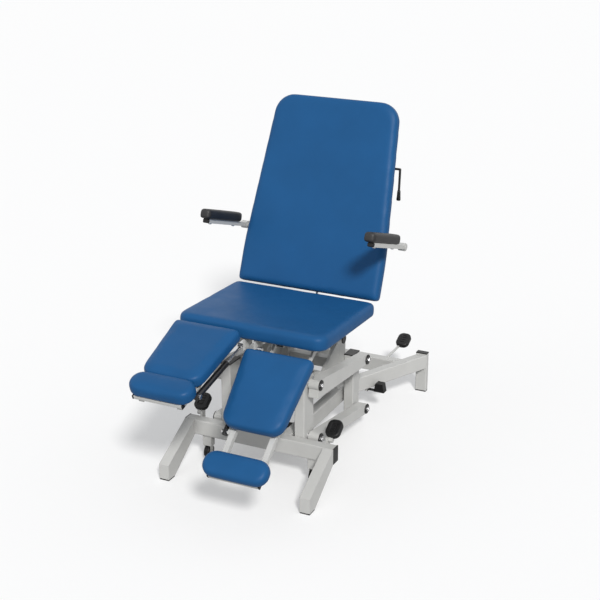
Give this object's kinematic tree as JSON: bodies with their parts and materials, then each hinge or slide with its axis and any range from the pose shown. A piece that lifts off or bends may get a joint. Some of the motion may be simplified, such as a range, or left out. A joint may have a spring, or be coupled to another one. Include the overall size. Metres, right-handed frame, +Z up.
{
  "type": "podiatry treatment chair",
  "caption": "Podiatry treatment chair with a foot-pumped lift, reclining back, separate leg sections with sliding footrests, and folding armrests.",
  "frame": {"origin": "centre of the bounding box on the floor, under the middle of the chair", "axes": "+Z up, -Y toward the feet end, +X toward the side with the release lever and side pedal"},
  "size_m": [0.704, 1.6182, 1.2777],
  "materials": {
    "frame_paint": "satin",
    "vinyl": "satin",
    "board": "matte",
    "black_foam": "matte",
    "black_rubber": "matte",
    "black_plastic": "matte",
    "dark_paint": "gloss",
    "steel": "satin"
  },
  "bodies": {
    "base": {"front_crossbar": "frame_paint", "base_rails": "frame_paint", "rear_crossbar": "frame_paint", "rear_legs": "frame_paint", "base_end_caps": "black_plastic", "front_feet": "frame_paint", "rubber_feet": "black_rubber", "front_columns": "frame_paint", "column_caps": "black_plastic", "front_arm_pins": "steel", "pump_cylinder": "dark_paint", "pedal_brackets": "frame_paint"},
    "lower_arms": {"lower_lift_arms": "frame_paint"},
    "upper_arms": {"upper_lift_arms": "frame_paint"},
    "ram": {"pump_ram": "dark_paint"},
    "lift": {"lift_posts": "frame_paint", "lift_end_caps": "black_plastic", "lift_uprights": "frame_paint", "lift_gussets": "frame_paint", "rear_arm_pins": "steel", "seat_frame": "frame_paint", "seat_board": "board", "seat_cushion": "vinyl"},
    "back": {"back_frame": "frame_paint", "back_board": "board", "back_cushion": "vinyl"},
    "back_cylinder": {"back_spring_cylinder": "dark_paint"},
    "back_rod": {"back_spring_rod": "steel"},
    "lever": {"release_lever": "dark_paint", "release_grip": "black_plastic"},
    "armrest_right": {"armrest_bar_right": "frame_paint", "armrest_pad_right": "black_foam"},
    "armrest_left": {"armrest_bar_left": "frame_paint", "armrest_pad_left": "black_foam"},
    "leg_right": {"leg_frame_right": "frame_paint", "leg_board_right": "board", "leg_cushion_right": "vinyl"},
    "footrest_right": {"footrest_frame_right": "frame_paint", "footrest_cushion_right": "vinyl"},
    "leg_rod_right": {"leg_spring_rod_right": "steel"},
    "leg_cylinder_right": {"leg_spring_cylinder_right": "dark_paint"},
    "leg_left": {"leg_frame_left": "frame_paint", "leg_board_left": "board", "leg_cushion_left": "vinyl"},
    "footrest_left": {"footrest_frame_left": "frame_paint", "footrest_cushion_left": "vinyl"},
    "leg_rod_left": {"leg_spring_rod_left": "steel"},
    "leg_cylinder_left": {"leg_spring_cylinder_left": "dark_paint"},
    "castor_right": {"castor_fork_right": "frame_paint"},
    "wheel_right": {"castor_wheel_right": "black_rubber"},
    "castor_pedal_right": {"castor_lever_right": "frame_paint", "castor_pedal_right": "black_rubber"},
    "castor_left": {"castor_fork_left": "frame_paint"},
    "wheel_left": {"castor_wheel_left": "black_rubber"},
    "castor_pedal_left": {"castor_lever_left": "frame_paint", "castor_pedal_left": "black_rubber"},
    "pump_foot_lever": {"pump_lever": "frame_paint", "pump_pedal": "black_rubber"},
    "side_foot_lever": {"side_lever": "dark_paint", "side_pedal": "black_rubber"}
  },
  "joints": [
    {"name": "lift_arm_turn", "type": "hinge", "parent": "base", "child": "lower_arms", "pos_m": [0, -0.2433, 0.156], "axis": [1, 0, 0], "range_deg": [0, 50]},
    {"name": "lift_frame_turn", "type": "hinge", "parent": "lower_arms", "child": "lift", "pos_m": [0, 0.18604, 0.0926], "axis": [1, 0, 0], "range_deg": [-50, 0]},
    {"name": "upper_arm_turn", "type": "hinge", "parent": "base", "child": "upper_arms", "pos_m": [0, -0.2433, 0.366], "axis": [1, 0, 0], "range_deg": [0, 50]},
    {"name": "ram_slide", "type": "slide", "parent": "base", "child": "ram", "axis": [0, 0, 1], "range_m": [0, 0.0976]},
    {"name": "back_recline", "type": "hinge", "parent": "lift", "child": "back", "pos_m": [0, 0.1007, 0.527], "axis": [-1, 0, 0], "range_deg": [0, 58]},
    {"name": "back_cylinder_turn", "type": "hinge", "parent": "lift", "child": "back_cylinder", "pos_m": [0, 0.1507, 0.33], "axis": [-1, 0, 0], "range_deg": [0, 27.27]},
    {"name": "back_rod_slide", "type": "slide", "parent": "back_cylinder", "child": "back_rod", "axis": [0, 0.1552, 0.9879], "range_m": [-0.11386, 0]},
    {"name": "release_pull", "type": "hinge", "parent": "back", "child": "lever", "pos_m": [0, 0.33137, 1.03127], "axis": [-1, 0, 0], "range_deg": [0, 14], "stiffness_Nm_per_rad": 1.5, "springref_deg": -8.59},
    {"name": "armrest_fold_right", "type": "hinge", "parent": "back", "child": "armrest_right", "pos_m": [0, 0.22376, 0.76628], "axis": [-1, 0, 0], "range_deg": [0, 66]},
    {"name": "armrest_fold_left", "type": "hinge", "parent": "back", "child": "armrest_left", "pos_m": [0, 0.22376, 0.76628], "axis": [-1, 0, 0], "range_deg": [0, 66]},
    {"name": "leg_lower_right", "type": "hinge", "parent": "lift", "child": "leg_right", "pos_m": [0, -0.28108, 0.53264], "axis": [1, 0, 0], "range_deg": [-31.4, 2.6]},
    {"name": "footrest_slide_right", "type": "slide", "parent": "leg_right", "child": "footrest_right", "axis": [0, -0.7727, -0.6347], "range_m": [-0.0926, 0.0474]},
    {"name": "leg_rod_turn_right", "type": "hinge", "parent": "lift", "child": "leg_rod_right", "pos_m": [0.036, -0.36647, 0.5188], "axis": [1, 0, 0], "range_deg": [-39.92, 3.76]},
    {"name": "leg_cylinder_slide_right", "type": "slide", "parent": "leg_rod_right", "child": "leg_cylinder_right", "axis": [0, -0.7737, -0.6336], "range_m": [-0.01313, 0.002]},
    {"name": "leg_lower_left", "type": "hinge", "parent": "lift", "child": "leg_left", "pos_m": [0, -0.28108, 0.53264], "axis": [1, 0, 0], "range_deg": [-9.7, 24.3]},
    {"name": "footrest_slide_left", "type": "slide", "parent": "leg_left", "child": "footrest_left", "axis": [0, -0.9527, -0.304], "range_m": [0, 0.14]},
    {"name": "leg_rod_turn_left", "type": "hinge", "parent": "lift", "child": "leg_rod_left", "pos_m": [-0.036, -0.36647, 0.5188], "axis": [1, 0, 0], "range_deg": [-12.71, 31.08]},
    {"name": "leg_cylinder_slide_left", "type": "slide", "parent": "leg_rod_left", "child": "leg_cylinder_left", "axis": [0, -0.9778, -0.2093], "range_m": [-0.00441, 0.00954]},
    {"name": "castor_pedal_press_right", "type": "hinge", "parent": "base", "child": "castor_pedal_right", "pos_m": [0, -0.2693, 0.174], "axis": [-1, 0, 0], "range_deg": [0, 20]},
    {"name": "castor_drop_right", "type": "slide", "parent": "base", "child": "castor_right", "axis": [0, 0, -1], "range_m": [0, 0.0115]},
    {"name": "wheel_spin_right", "type": "hinge", "parent": "castor_right", "child": "wheel_right", "pos_m": [0, -0.3033, 0.037], "axis": [1, 0, 0], "continuous": true},
    {"name": "castor_pedal_press_left", "type": "hinge", "parent": "base", "child": "castor_pedal_left", "pos_m": [0, -0.2693, 0.174], "axis": [-1, 0, 0], "range_deg": [0, 20]},
    {"name": "castor_drop_left", "type": "slide", "parent": "base", "child": "castor_left", "axis": [0, 0, -1], "range_m": [0, 0.0115]},
    {"name": "wheel_spin_left", "type": "hinge", "parent": "castor_left", "child": "wheel_left", "pos_m": [0, -0.3033, 0.037], "axis": [1, 0, 0], "continuous": true},
    {"name": "pump_press", "type": "hinge", "parent": "base", "child": "pump_foot_lever", "pos_m": [0, 0.5667, 0.132], "axis": [-1, 0, 0], "range_deg": [0, 14], "stiffness_Nm_per_rad": 12, "springref_deg": -17.19},
    {"name": "lowering_press", "type": "hinge", "parent": "base", "child": "side_foot_lever", "pos_m": [0.14691, 0.3567, 0.096], "axis": [0, 1, 0], "range_deg": [0, 8], "stiffness_Nm_per_rad": 12, "springref_deg": -8.59}
  ],
  "couplings": [
    {"joint": "lift_frame_turn", "follows": "lift_arm_turn", "ratio": -1},
    {"joint": "upper_arm_turn", "follows": "lift_arm_turn", "ratio": 1},
    {"joint": "ram_slide", "follows": "lift_arm_turn", "m_per_rad": 0.11127},
    {"joint": "back_cylinder_turn", "follows": "back_recline", "ratio": 0.4616},
    {"joint": "back_rod_slide", "follows": "back_recline", "m_per_rad": -0.11149},
    {"joint": "leg_rod_turn_right", "follows": "leg_lower_right", "ratio": 1.2555},
    {"joint": "leg_cylinder_slide_right", "follows": "leg_lower_right", "m_per_rad": 0.022126},
    {"joint": "leg_rod_turn_left", "follows": "leg_lower_left", "ratio": 1.2586},
    {"joint": "leg_cylinder_slide_left", "follows": "leg_lower_left", "m_per_rad": 0.020147},
    {"joint": "castor_pedal_press_right", "follows": "castor_drop_right", "rad_per_m": 30.3},
    {"joint": "castor_pedal_press_left", "follows": "castor_drop_left", "rad_per_m": 30.3}
  ]
}
